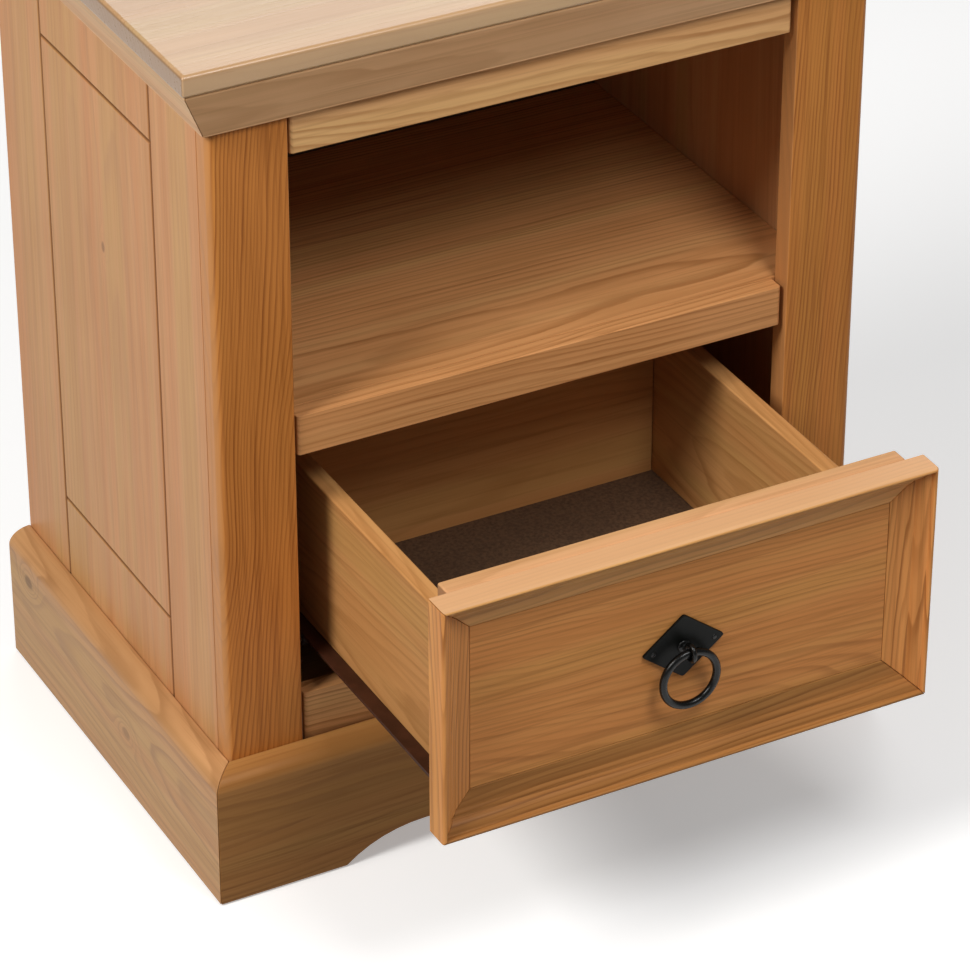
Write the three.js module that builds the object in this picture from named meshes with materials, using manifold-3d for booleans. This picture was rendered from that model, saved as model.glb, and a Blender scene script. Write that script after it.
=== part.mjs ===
// A country-style pine bedside cabinet: a face-framed body on a moulded plinth, an open shelf above one
// inset drawer, a cornice under the top, and a black iron ring pull. The drawer stands drawn out.
//
// Millimetres, +Z up. X runs across the cabinet (0 is its middle), -Y is the front, Z is 0 on the floor.
// Inside the cabinet group Y is 0 on the front of the face frame; the group is then moved so that the
// footprint, with the drawer drawn out, is centred on the origin.

import * as THREE from "three";
import { mergeVertices } from "three/addons/utils/BufferGeometryUtils.js";
import Module from "manifold-3d";

const wasm = await Module();
wasm.setup();

// ---- driving dimensions -------------------------------------------------------------------------

const HEIGHT = 572;
const BODY_WIDTH = 436;
const BODY_DEPTH = 304;

const GAP = 0.3; // joint clearance between two pieces that touch

const TOP_THICKNESS = 14;
const TOP_LIP = 2.5; // how far the top stands out beyond the cornice
const TOP_EDGE_RADIUS = 2.5;

const CORNICE_HEIGHT = 37.5;
const CORNICE_FOOT = 4.5; // how far the cornice's lower edge stands out from the body
const CORNICE_FLARE = 17.5; // how much further its upper edge stands out

const STILE_WIDTH = 50;
const STILE_THICKNESS = 15;
const STILE_CORNER_RADIUS = 5;

const RAIL_RECESS = 2.5; // the rails lie this far behind the stiles' faces
const RAIL_END_RADIUS = 2.5;
const RAIL_END_GAP = 2.5;
const TOP_RAIL_BOTTOM = 493;
const SHELF_TOP = 320;
const MIDDLE_RAIL_HEIGHT = 27;
const BOTTOM_RAIL_TOP = 124;
const BOTTOM_RAIL_FOOT = 60;
const SHELF_THICKNESS = 16;
const FLOOR_TOP = 112; // upper face of the board that closes the drawer's compartment below
const FLOOR_THICKNESS = 12;

const SIDE_THICKNESS = 18;
const FRONT_GROOVE_Y = 80; // the grooves in each side's outer face mark out a panel
const BACK_GROOVE_Y = 239;
const TOP_GROOVE_Z = 478;
const BOTTOM_GROOVE_Z = 150;
const GROOVE_WIDTH = 3;
const GROOVE_DEPTH = 1.6;
const GROOVE_CUTTER_PROUD = 1; // how far the cutter stands out of the face it cuts

const BACK_PANEL_FRONT = 298;
const BACK_PANEL_THICKNESS = 4;
const STRETCHER_WIDTH = 18;
const STRETCHER_HEIGHT = 38;

const PLINTH_PROUD = 16;
const PLINTH_HEIGHT = 93;
const PLINTH_FLAT = 82; // height of the plinth's flat face, below its rounded top
const CUTOUT_HALF_WIDTH = 147.3;
const CUTOUT_FLAT_HALF_WIDTH = 92;
const CUTOUT_HEIGHT = 18;

const DRAWER_OUT = 180; // how far the drawer is drawn out here; 0 is closed and flush
const DRAWER_CLEARANCE = 3; // between the drawer's front and the stiles and bottom rail
const DRAWER_FRONT_HEIGHT = 161.5;
const FRAME_WIDTH = 24.4;
const FRAME_THICKNESS = 18;
const PANEL_RECESS = 14.2;
const PANEL_THICKNESS = 3.7;
const BOX_FRONT_THICKNESS = 12;
const BOX_FRONT_INSET = 12; // the board behind the frame stops this far short of the frame's ends
const BOX_SIDE_INSET = 21.5; // the drawer's sides lie this far in from the frame's ends
const BOX_SIDE_THICKNESS = 12;
const BOX_SIDE_DROP = 33; // and end this far below the frame's top
const BOX_BACK_THICKNESS = 12;
const BOX_BACK_END = 288; // back end of the drawer's sides when it is closed
const BOX_FOOT = 136.5;
const BOTTOM_BOARD_FOOT = 143;
const BOTTOM_BOARD_THICKNESS = 4;

const SHEET = 1.2; // thickness of the runners' steel
const DRAWER_RUNNER_HEIGHT = 14;
const DRAWER_RUNNER_REACH = 9.8; // how far the drawer's runner stands out from its side
const DRAWER_RUNNER_LIP = 2.4; // height of the lip turned down at its outer edge
const DRAWER_RUNNER_LENGTH = 252;
const CABINET_RUNNER_DEPTH = 11.5;
const BATTEN_FOOT = 122;
const BATTEN_TOP = 162;
const CABINET_RUNNER_FRONT = 22;
const CABINET_RUNNER_BACK = 270.2;
const ROLLER_RADIUS = 6.5;
const ROLLER_WIDTH = 5;
const ROLLER_BORE_RADIUS = 2.3;
const PIN_RADIUS = 2;
const PIN_HEAD_RADIUS = 3.4;
const PIN_HEAD_THICKNESS = 1;
const FRONT_ROLLER_Y = 38;
const REAR_ROLLER_Y = 262; // with the drawer closed
const STOP_Y = 60;
const STOP_HEIGHT = 3;

const PLATE_WIDTH = 55.6;
const PLATE_HEIGHT = 43.5;
const PLATE_THICKNESS = 2;
const PLATE_CORNER = 1.6;
const PIVOT_PROUD = 8; // from the plate's face to the ring's turning axis
const EYE_RADIUS = 4.9;
const EYE_WIRE_RADIUS = 1.5;
const STUD_RADIUS = 1.8;
const RING_RADIUS = 18.1;
const RING_WIRE_RADIUS = 2.5;
const NUT_FLATS = 7;
const NUT_THICKNESS = 3.2;

const FOOTPRINT_MIDDLE = 61; // distance of the footprint's middle behind the face frame

// ---- dimensions that follow ---------------------------------------------------------------------

const CARCASS_TOP = HEIGHT - TOP_THICKNESS;
const HALF_BODY = BODY_WIDTH / 2;
const HALF_OPENING = HALF_BODY - STILE_WIDTH;
const SIDE_INNER = HALF_BODY - SIDE_THICKNESS;
const TOP_OVERHANG = CORNICE_FOOT + CORNICE_FLARE + TOP_LIP;
const CORNICE_BOTTOM = CARCASS_TOP - CORNICE_HEIGHT;
const SHELF_FRONT = STILE_THICKNESS + GAP;

const HALF_DRAWER = HALF_OPENING - DRAWER_CLEARANCE;
const DRAWER_FOOT = BOTTOM_RAIL_TOP + DRAWER_CLEARANCE;
const DRAWER_TOP = DRAWER_FOOT + DRAWER_FRONT_HEIGHT;
const HALF_SIGHT_WIDTH = HALF_DRAWER - FRAME_WIDTH;
const SIGHT_FOOT = DRAWER_FOOT + FRAME_WIDTH;
const SIGHT_TOP = DRAWER_TOP - FRAME_WIDTH;
const BOX_FRONT_START = FRAME_THICKNESS + GAP;
const BOX_FRONT_END = BOX_FRONT_START + BOX_FRONT_THICKNESS;
const BOX_START = BOX_FRONT_END + GAP;
const BOX_TOP = DRAWER_TOP - BOX_SIDE_DROP;
const BOX_OUTER = HALF_DRAWER - BOX_SIDE_INSET;
const BOX_INNER = BOX_OUTER - BOX_SIDE_THICKNESS;
const BOX_BACK_START = BOX_BACK_END - BOX_BACK_THICKNESS;

const DRAWER_RUNNER_FOOT = BOX_FOOT - GAP - SHEET;
const DRAWER_RUNNER_TOP = DRAWER_RUNNER_FOOT + DRAWER_RUNNER_HEIGHT;
const DRAWER_RUNNER_WEB = BOX_OUTER + GAP;
const DRAWER_RUNNER_OUTER = BOX_OUTER + DRAWER_RUNNER_REACH;
const CABINET_RUNNER_OUTER = HALF_OPENING;
const CABINET_RUNNER_INNER = CABINET_RUNNER_OUTER - CABINET_RUNNER_DEPTH;
const BATTEN_INNER = CABINET_RUNNER_OUTER + GAP;
const FRONT_ROLLER_Z = DRAWER_RUNNER_TOP - SHEET - GAP - ROLLER_RADIUS;
const REAR_ROLLER_Z = FRONT_ROLLER_Z;
const CABINET_RUNNER_FOOT = REAR_ROLLER_Z - ROLLER_RADIUS - GAP - SHEET;
const CABINET_RUNNER_TOP = REAR_ROLLER_Z + ROLLER_RADIUS + 0.7 + SHEET;

const HANDLE_Z = (SIGHT_FOOT + SIGHT_TOP) / 2;
const PLATE_BACK = PANEL_RECESS - GAP;
const PLATE_FACE = PLATE_BACK - PLATE_THICKNESS;
const PIVOT_Y = PLATE_FACE - PIVOT_PROUD;
const STUD_HOLE_RADIUS = STUD_RADIUS + GAP;

const X = new THREE.Vector3(1, 0, 0);
const Y = new THREE.Vector3(0, 1, 0);
const Z = new THREE.Vector3(0, 0, 1);
const FRONT = Y.clone().negate();
const LEFT = X.clone().negate();
const DOWN = Z.clone().negate();

// ---- finishes -----------------------------------------------------------------------------------

function finish(color, roughness, metalness = 0) {
  return () => new THREE.MeshStandardMaterial({ color, roughness, metalness });
}

const topPine = finish("#d9b082", 0.38);
const mouldingPine = finish("#b58557", 0.45);
const framePine = finish("#b87a41", 0.45);
const sidePine = finish("#c39a6c", 0.5);
const plinthPine = finish("#ad8254", 0.5);
const insidePine = finish("#a87a4c", 0.6);
const drawerPine = finish("#b0763f", 0.45);
const boxPine = finish("#c99c64", 0.55);
const hardboard = finish("#7a5a3c", 0.75);
const brownSteel = finish("#33241a", 0.45, 0.4);
const nylon = finish("#3c2e26", 0.5);
const zincSteel = finish("#9b9b98", 0.4, 0.9);
const blackIron = finish("#1d1d1c", 0.5, 0.6);

// ---- building helpers ---------------------------------------------------------------------------

function named(name, geometry, material) {
  const mesh = new THREE.Mesh(geometry, material());
  mesh.name = name;
  return mesh;
}

// A rectangular board given by the low and high ends of its three sides.
function board(name, material, [x0, x1], [y0, y1], [z0, z1]) {
  const mesh = named(name, new THREE.BoxGeometry(x1 - x0, y1 - y0, z1 - z0), material);
  mesh.position.set((x0 + x1) / 2, (y0 + y1) / 2, (z0 + z1) / 2);
  return mesh;
}

// The same span on the other side of the middle plane.
function mirrored([low, high], side) {
  return side > 0 ? [low, high] : [-high, -low];
}

function outline(points) {
  return new THREE.Shape(points.map(([x, y]) => new THREE.Vector2(x, y)));
}

function prism(shape, depth, curveSegments = 8) {
  return new THREE.ExtrudeGeometry(shape, { depth, bevelEnabled: false, curveSegments });
}

// Turns a mesh so that its local x and y point along two given directions, and its z along their product.
function aim(mesh, xDirection, yDirection, origin) {
  const zDirection = xDirection.clone().cross(yDirection);
  mesh.quaternion.setFromRotationMatrix(new THREE.Matrix4().makeBasis(xDirection, yDirection, zDirection));
  mesh.position.copy(origin);
  return mesh;
}

// An upright prism: an outline in X and Y, carried from z0 to z1.
function upright(name, material, shape, z0, z1) {
  const mesh = named(name, prism(shape, z1 - z0), material);
  mesh.position.z = z0;
  return mesh;
}

// A moulding: a profile (x outward, y up) run along z, whose ends slope by startSlope and endSlope per
// unit of x, so that a slope of -1 or 1 makes a mitre.
function moulding(profile, length, startSlope, endSlope) {
  const geometry = prism(profile, length);
  const position = geometry.attributes.position;
  for (let i = 0; i < position.count; i += 1) {
    const slope = position.getZ(i) < length / 2 ? startSlope : endSlope;
    position.setZ(i, position.getZ(i) + slope * position.getX(i));
  }
  geometry.computeVertexNormals();
  return geometry;
}

function toSolid(mesh) {
  mesh.updateMatrixWorld(true);
  const plain = mesh.geometry.clone().applyMatrix4(mesh.matrixWorld);
  plain.deleteAttribute("normal");
  plain.deleteAttribute("uv");
  const merged = mergeVertices(plain, 1e-4);
  const vertProperties = new Float32Array(merged.attributes.position.array);
  const triVerts = new Uint32Array(merged.index.array);
  return new wasm.Manifold(new wasm.Mesh({ numProp: 3, vertProperties, triVerts }));
}

function fromSolid(name, solid, material) {
  const { vertProperties, triVerts } = solid.getMesh();
  const geometry = new THREE.BufferGeometry();
  geometry.setAttribute("position", new THREE.BufferAttribute(vertProperties, 3));
  geometry.setIndex(new THREE.BufferAttribute(triVerts, 1));
  geometry.computeVertexNormals();
  return named(name, geometry, material);
}

function joined(name, material, meshes) {
  const solid = meshes.map(toSolid).reduce((whole, piece) => whole.add(piece));
  return fromSolid(name, solid, material);
}

function sideName(side) {
  return side > 0 ? "right" : "left";
}

const SIDES = [-1, 1];

// ---- top and cornice ----------------------------------------------------------------------------

function topBoard() {
  const halfWidth = HALF_BODY + TOP_OVERHANG;
  const shape = outline([
    [-halfWidth, -TOP_OVERHANG],
    [halfWidth, -TOP_OVERHANG],
    [halfWidth, BODY_DEPTH],
    [-halfWidth, BODY_DEPTH],
  ]);
  const geometry = new THREE.ExtrudeGeometry(shape, {
    depth: TOP_THICKNESS - 2 * TOP_EDGE_RADIUS,
    bevelThickness: TOP_EDGE_RADIUS,
    bevelSize: TOP_EDGE_RADIUS,
    bevelOffset: -TOP_EDGE_RADIUS,
    bevelSegments: 3,
  });
  const mesh = named("top_board", geometry, topPine);
  mesh.position.z = CARCASS_TOP + TOP_EDGE_RADIUS;
  return mesh;
}

// A moulding round the front and both sides of the body, mitred at the two front corners. The profile's
// x is the distance out from the body's face.
function skirting(prefix, material, profile, footZ) {
  const half = GAP / 2;
  const frontLength = BODY_WIDTH - 2 * half;
  const front = named(`${prefix}_front`, moulding(profile, frontLength, -1, 1), material);
  aim(front, FRONT, Z, new THREE.Vector3(HALF_BODY - half, 0, footZ));

  const sideLength = BODY_DEPTH - half;
  const left = named(`${prefix}_left`, moulding(profile, sideLength, -1, 0), material);
  aim(left, LEFT, Z, new THREE.Vector3(-HALF_BODY, half, footZ));
  const right = named(`${prefix}_right`, moulding(profile, sideLength, 0, 1), material);
  aim(right, X, Z, new THREE.Vector3(HALF_BODY, BODY_DEPTH, footZ));
  return { front, left, right };
}

function cornice() {
  const profile = outline([
    [GAP, 0],
    [CORNICE_FOOT, 0],
    [CORNICE_FOOT, 1.5],
    [CORNICE_FOOT + CORNICE_FLARE, CORNICE_HEIGHT - 2 - GAP],
    [CORNICE_FOOT + CORNICE_FLARE, CORNICE_HEIGHT - GAP],
    [GAP, CORNICE_HEIGHT - GAP],
  ]);
  return Object.values(skirting("cornice", mouldingPine, profile, CORNICE_BOTTOM));
}

// ---- plinth -------------------------------------------------------------------------------------

// The front board's cut-out: a long low arch, flat along the middle, whose ends curve down to the floor.
function cutoutShape() {
  const bend = (CUTOUT_HALF_WIDTH + CUTOUT_FLAT_HALF_WIDTH) / 2 + 5;
  const shape = new THREE.Shape();
  shape.moveTo(-CUTOUT_HALF_WIDTH - 5, -5);
  shape.lineTo(CUTOUT_HALF_WIDTH + 5, -5);
  shape.lineTo(CUTOUT_HALF_WIDTH, 0);
  shape.quadraticCurveTo(bend, CUTOUT_HEIGHT, CUTOUT_FLAT_HALF_WIDTH, CUTOUT_HEIGHT);
  shape.lineTo(-CUTOUT_FLAT_HALF_WIDTH, CUTOUT_HEIGHT);
  shape.quadraticCurveTo(-bend, CUTOUT_HEIGHT, -CUTOUT_HALF_WIDTH, 0);
  return shape;
}

function plinth() {
  const profile = new THREE.Shape();
  const roundWidth = PLINTH_PROUD - GAP;
  const roundHeight = PLINTH_HEIGHT - PLINTH_FLAT;
  profile.moveTo(GAP, 0);
  profile.lineTo(PLINTH_PROUD, 0);
  profile.lineTo(PLINTH_PROUD, PLINTH_FLAT);
  profile.absellipse(GAP, PLINTH_FLAT, roundWidth, roundHeight, 0, Math.PI / 2, false, 0);
  const { front, left, right } = skirting("plinth", plinthPine, profile, 0);

  const cutter = named("cutter", prism(cutoutShape(), PLINTH_PROUD + 20, 6), plinthPine);
  aim(cutter, X, Z, new THREE.Vector3(0, 10, 0));
  const cutFront = fromSolid("plinth_front", toSolid(front).subtract(toSolid(cutter)), plinthPine);
  return [cutFront, left, right];
}

// ---- face frame ---------------------------------------------------------------------------------

function faceStile(side) {
  const r = STILE_CORNER_RADIUS;
  const shape = new THREE.Shape();
  shape.moveTo(HALF_OPENING, 0);
  shape.lineTo(HALF_BODY - r, 0);
  shape.absarc(HALF_BODY - r, r, r, -Math.PI / 2, 0, false);
  shape.lineTo(HALF_BODY, STILE_THICKNESS);
  shape.lineTo(HALF_OPENING, STILE_THICKNESS);
  const right = upright("right", framePine, shape, 0, CARCASS_TOP - GAP);
  if (side > 0) {
    right.name = "face_stile_right";
    return right;
  }
  const solid = toSolid(right).mirror([1, 0, 0]);
  return fromSolid("face_stile_left", solid, framePine);
}

// A rail between the stiles, set a little behind their faces, with its two front ends rounded over.
function faceRail(name, z0, z1) {
  const half = HALF_OPENING - RAIL_END_GAP;
  const r = RAIL_END_RADIUS;
  const shape = new THREE.Shape();
  shape.moveTo(-half + r, RAIL_RECESS);
  shape.lineTo(half - r, RAIL_RECESS);
  shape.absarc(half - r, RAIL_RECESS + r, r, -Math.PI / 2, 0, false);
  shape.lineTo(half, STILE_THICKNESS);
  shape.lineTo(-half, STILE_THICKNESS);
  shape.lineTo(-half, RAIL_RECESS + r);
  shape.absarc(-half + r, RAIL_RECESS + r, r, Math.PI, 1.5 * Math.PI, false);
  return upright(name, framePine, shape, z0, z1);
}

function faceFrame() {
  return [
    ...SIDES.map(faceStile),
    faceRail("top_rail", TOP_RAIL_BOTTOM, CARCASS_TOP - GAP),
    faceRail("middle_rail", SHELF_TOP - MIDDLE_RAIL_HEIGHT, SHELF_TOP),
    faceRail("bottom_rail", BOTTOM_RAIL_FOOT, BOTTOM_RAIL_TOP),
  ];
}

// ---- sides, shelf, floor and back ---------------------------------------------------------------

// A triangular cutter for a V-groove in a face that looks outward, running along a direction.
function grooveCutter(outward, direction, start, length) {
  const half = (GROOVE_WIDTH / 2) * (1 + GROOVE_CUTTER_PROUD / GROOVE_DEPTH);
  const triangle = outline([
    [-half, GROOVE_CUTTER_PROUD],
    [0, -GROOVE_DEPTH],
    [half, GROOVE_CUTTER_PROUD],
  ]);
  const mesh = named("groove", prism(triangle, length), sidePine);
  return toSolid(aim(mesh, outward.clone().cross(direction), outward, start));
}

// A side: one glued board, with two V-grooves milled from end to end of its outer face and two level
// ones between them.
function milledSide(side) {
  const name = `side_${sideName(side)}`;
  const across = mirrored([SIDE_INNER, HALF_BODY], side);
  const height = CARCASS_TOP - GAP;
  const whole = board(name, sidePine, across, [STILE_THICKNESS + GAP, BODY_DEPTH], [0, height]);

  const face = side * HALF_BODY;
  const outward = side > 0 ? X : LEFT;
  const uprights = [FRONT_GROOVE_Y, BACK_GROOVE_Y].map((y) =>
    grooveCutter(outward, Z, new THREE.Vector3(face, y, -1), height + 2),
  );
  const levels = [BOTTOM_GROOVE_Z, TOP_GROOVE_Z].map((z) =>
    grooveCutter(outward, Y, new THREE.Vector3(face, FRONT_GROOVE_Y, z), BACK_GROOVE_Y - FRONT_GROOVE_Y),
  );
  const grooved = [...uprights, ...levels].reduce((rest, cutter) => rest.subtract(cutter), toSolid(whole));
  return fromSolid(name, grooved, sidePine);
}

function inside() {
  const across = [-SIDE_INNER + GAP, SIDE_INNER - GAP];
  const depth = [SHELF_FRONT, BACK_PANEL_FRONT - GAP];
  const backAcross = [BACK_PANEL_FRONT, BACK_PANEL_FRONT + BACK_PANEL_THICKNESS];
  const stretcherDepth = [BACK_PANEL_FRONT - GAP - STRETCHER_WIDTH, BACK_PANEL_FRONT - GAP];
  const stretcherTop = CARCASS_TOP - GAP;
  const stretcherHeights = [stretcherTop - STRETCHER_HEIGHT, stretcherTop];
  return [
    board("shelf_board", framePine, across, depth, [SHELF_TOP - SHELF_THICKNESS, SHELF_TOP]),
    board("floor_board", insidePine, across, depth, [FLOOR_TOP - FLOOR_THICKNESS, FLOOR_TOP]),
    board("back_panel", hardboard, across, backAcross, [BOTTOM_RAIL_FOOT, CARCASS_TOP - GAP]),
    board("back_stretcher", insidePine, across, stretcherDepth, stretcherHeights),
  ];
}

// ---- runners and rollers ------------------------------------------------------------------------

// A steel section lying along Y, given by its outline in X and Z as seen from the front.
function section(name, points, length, frontY) {
  const mesh = named(name, prism(outline(points), length), brownSteel);
  return aim(mesh, X, Z, new THREE.Vector3(0, frontY + length, 0));
}

// The fixed runner: a channel open towards the drawer, with an upturned stop in front and a closed back
// end. The drawer's rear roller travels between them.
function cabinetRunner(side) {
  const web = side * CABINET_RUNNER_OUTER;
  const webInside = side * (CABINET_RUNNER_OUTER - SHEET);
  const open = side * CABINET_RUNNER_INNER;
  const foot = CABINET_RUNNER_FOOT;
  const top = CABINET_RUNNER_TOP;
  const points = [
    [open, foot],
    [web, foot],
    [web, top],
    [open, top],
    [open, top - SHEET],
    [webInside, top - SHEET],
    [webInside, foot + SHEET],
    [open, foot + SHEET],
  ];
  const length = CABINET_RUNNER_BACK - CABINET_RUNNER_FRONT;
  const rail = section("rail", points, length, CABINET_RUNNER_FRONT);

  const across = mirrored([CABINET_RUNNER_INNER + 0.5, CABINET_RUNNER_OUTER - SHEET / 2], side);
  const stopHeights = [foot + SHEET / 2, foot + SHEET + STOP_HEIGHT];
  const stop = board("stop", brownSteel, across, [STOP_Y - SHEET, STOP_Y], stopHeights);
  const endHeights = [foot + SHEET / 2, top - SHEET / 2];
  const endDepth = [CABINET_RUNNER_BACK - SHEET, CABINET_RUNNER_BACK];
  const end = board("end", brownSteel, across, endDepth, endHeights);
  return joined(`cabinet_runner_${sideName(side)}`, brownSteel, [rail, stop, end]);
}

// The drawer's own runner: an upright web on the outside of the drawer's side, turned in under the side
// at its foot and outward at its top, where it ends in a small lip. It rests on the front roller.
function drawerRunner(side) {
  const web = side * DRAWER_RUNNER_WEB;
  const webOutside = side * (DRAWER_RUNNER_WEB + SHEET);
  const outer = side * DRAWER_RUNNER_OUTER;
  const lipInside = side * (DRAWER_RUNNER_OUTER - SHEET);
  const turnedIn = side * (BOX_INNER + GAP);
  const foot = DRAWER_RUNNER_FOOT;
  const top = DRAWER_RUNNER_TOP;
  const points = [
    [turnedIn, foot],
    [webOutside, foot],
    [webOutside, top - SHEET],
    [lipInside, top - SHEET],
    [lipInside, top - DRAWER_RUNNER_LIP],
    [outer, top - DRAWER_RUNNER_LIP],
    [outer, top],
    [web, top],
    [web, foot + SHEET],
    [turnedIn, foot + SHEET],
  ];
  return section(`drawer_runner_${sideName(side)}`, points, DRAWER_RUNNER_LENGTH, BOX_START);
}

function turned(name, points, material, segments) {
  const profile = points.map(([r, along]) => new THREE.Vector2(r, along));
  return named(name, new THREE.LatheGeometry(profile, segments), material);
}

// Stands a turned piece along X, with its foot at x and its axis through y and z.
function alongX(mesh, x, y, z) {
  mesh.rotation.z = -Math.PI / 2;
  mesh.position.set(x, y, z);
  return mesh;
}

function roller(name, middleX, y, z) {
  const edge = 0.8;
  const points = [
    [ROLLER_BORE_RADIUS, 0],
    [ROLLER_RADIUS - edge, 0],
    [ROLLER_RADIUS, edge],
    [ROLLER_RADIUS, ROLLER_WIDTH - edge],
    [ROLLER_RADIUS - edge, ROLLER_WIDTH],
    [ROLLER_BORE_RADIUS, ROLLER_WIDTH],
    [ROLLER_BORE_RADIUS, 0],
  ];
  return alongX(turned(name, points, nylon, 24), middleX - ROLLER_WIDTH / 2, y, z);
}

// A headed pin from its riveted foot at footX to its head, which holds the roller on.
function rollerPin(name, footX, headX, y, z) {
  const length = Math.abs(headX - footX);
  const points = [
    [0, 0],
    [PIN_RADIUS, 0],
    [PIN_RADIUS, length - PIN_HEAD_THICKNESS],
    [PIN_HEAD_RADIUS, length - PIN_HEAD_THICKNESS],
    [PIN_HEAD_RADIUS, length],
    [0, length],
  ];
  const mesh = turned(name, points, zincSteel, 16);
  mesh.rotation.z = headX > footX ? -Math.PI / 2 : Math.PI / 2;
  mesh.position.set(footX, y, z);
  return mesh;
}

// Under the drawer's runner, a roller carried by the cabinet near its front.
const FRONT_ROLLER_X = DRAWER_RUNNER_OUTER - SHEET - 0.5 - ROLLER_WIDTH / 2;
// In the cabinet's channel, a roller carried by the drawer near its back end.
const REAR_ROLLER_X = CABINET_RUNNER_OUTER - SHEET - 3 * GAP - PIN_HEAD_THICKNESS - ROLLER_WIDTH / 2;

function cabinetRunning(side) {
  const end = sideName(side);
  const battenAcross = mirrored([BATTEN_INNER, SIDE_INNER - GAP], side);
  const battenDepth = [SHELF_FRONT + 0.7, BACK_PANEL_FRONT - 2];
  const footX = side * (CABINET_RUNNER_OUTER - SHEET - GAP);
  const headX = side * (FRONT_ROLLER_X - ROLLER_WIDTH / 2 - GAP - PIN_HEAD_THICKNESS);
  return [
    board(`runner_batten_${end}`, insidePine, battenAcross, battenDepth, [BATTEN_FOOT, BATTEN_TOP]),
    cabinetRunner(side),
    roller(`front_roller_${end}`, side * FRONT_ROLLER_X, FRONT_ROLLER_Y, FRONT_ROLLER_Z),
    rollerPin(`front_roller_pin_${end}`, footX, headX, FRONT_ROLLER_Y, FRONT_ROLLER_Z),
  ];
}

function drawerRunning(side) {
  const end = sideName(side);
  const footX = side * (DRAWER_RUNNER_WEB + SHEET + GAP);
  const headX = side * (REAR_ROLLER_X + ROLLER_WIDTH / 2 + GAP + PIN_HEAD_THICKNESS);
  return [
    drawerRunner(side),
    roller(`rear_roller_${end}`, side * REAR_ROLLER_X, REAR_ROLLER_Y, REAR_ROLLER_Z),
    rollerPin(`rear_roller_pin_${end}`, footX, headX, REAR_ROLLER_Y, REAR_ROLLER_Z),
  ];
}

// ---- drawer -------------------------------------------------------------------------------------

// The frame moulding round the drawer's front: a rounded outer lip, a cove, a small step and a long
// slope down to the panel. x runs outward from the sight edge, y forward from the frame's back.
function frameProfile() {
  const lip = FRAME_WIDTH - 3.2;
  const shape = new THREE.Shape();
  shape.moveTo(0, 0);
  shape.lineTo(FRAME_WIDTH, 0);
  shape.lineTo(FRAME_WIDTH, FRAME_THICKNESS - 3);
  shape.quadraticCurveTo(FRAME_WIDTH, FRAME_THICKNESS, FRAME_WIDTH - 2, FRAME_THICKNESS);
  shape.quadraticCurveTo(lip + 0.2, FRAME_THICKNESS, lip, FRAME_THICKNESS - 3.4);
  shape.quadraticCurveTo(lip - 5.2, FRAME_THICKNESS - 5, FRAME_WIDTH - 10, FRAME_THICKNESS - 9.6);
  shape.quadraticCurveTo(FRAME_WIDTH - 12, FRAME_THICKNESS - 9.4, FRAME_WIDTH - 13.8, FRAME_THICKNESS - 11.5);
  shape.lineTo(0, FRAME_THICKNESS - PANEL_RECESS + 0.4);
  return shape;
}

function drawerFrame() {
  const profile = frameProfile();
  const back = FRAME_THICKNESS;
  const wide = 2 * HALF_SIGHT_WIDTH - GAP;
  const tall = SIGHT_TOP - SIGHT_FOOT - GAP;
  const member = (name, length) => named(name, moulding(profile, length, -1, 1), drawerPine);
  const at = (x, z) => new THREE.Vector3(x, back, z);
  return [
    aim(member("drawer_frame_top", wide), Z, FRONT, at(-wide / 2, SIGHT_TOP)),
    aim(member("drawer_frame_bottom", wide), DOWN, FRONT, at(wide / 2, SIGHT_FOOT)),
    aim(member("drawer_frame_left", tall), LEFT, FRONT, at(-HALF_SIGHT_WIDTH, SIGHT_FOOT + GAP / 2)),
    aim(member("drawer_frame_right", tall), X, FRONT, at(HALF_SIGHT_WIDTH, SIGHT_TOP - GAP / 2)),
  ];
}

function studHole() {
  const hole = new THREE.Path();
  hole.absarc(0, HANDLE_Z, STUD_HOLE_RADIUS, 0, 2 * Math.PI, true);
  return hole;
}

function drawerPanel() {
  const half = HALF_SIGHT_WIDTH - GAP;
  const shape = outline([
    [-half, SIGHT_FOOT + GAP],
    [half, SIGHT_FOOT + GAP],
    [half, SIGHT_TOP - GAP],
    [-half, SIGHT_TOP - GAP],
  ]);
  shape.holes.push(studHole());
  const mesh = named("drawer_panel", prism(shape, PANEL_THICKNESS), drawerPine);
  return aim(mesh, X, Z, new THREE.Vector3(0, PANEL_RECESS + PANEL_THICKNESS, 0));
}

// The board behind the frame that closes the drawer box in front.
function drawerBoxFront() {
  const half = HALF_DRAWER - BOX_FRONT_INSET;
  const shape = outline([
    [-half, BOX_FOOT],
    [half, BOX_FOOT],
    [half, DRAWER_TOP],
    [-half, DRAWER_TOP],
  ]);
  shape.holes.push(studHole());
  const mesh = named("drawer_box_front", prism(shape, BOX_FRONT_THICKNESS), boxPine);
  return aim(mesh, X, Z, new THREE.Vector3(0, BOX_FRONT_END, 0));
}

function drawerBox() {
  const across = [-BOX_INNER + GAP, BOX_INNER - GAP];
  const depth = [BOX_START, BOX_BACK_END];
  const heights = [BOX_FOOT, BOX_TOP];
  const sideAcross = [BOX_INNER, BOX_OUTER];
  const bottomDepth = [BOX_START, BOX_BACK_START - GAP];
  const bottomHeights = [BOTTOM_BOARD_FOOT, BOTTOM_BOARD_FOOT + BOTTOM_BOARD_THICKNESS];
  return [
    drawerBoxFront(),
    board("drawer_side_left", boxPine, mirrored(sideAcross, -1), depth, heights),
    board("drawer_side_right", boxPine, sideAcross, depth, heights),
    board("drawer_back", boxPine, across, [BOX_BACK_START, BOX_BACK_END], heights),
    board("drawer_bottom", hardboard, across, bottomDepth, bottomHeights),
  ];
}

// ---- ring pull ----------------------------------------------------------------------------------

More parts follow.
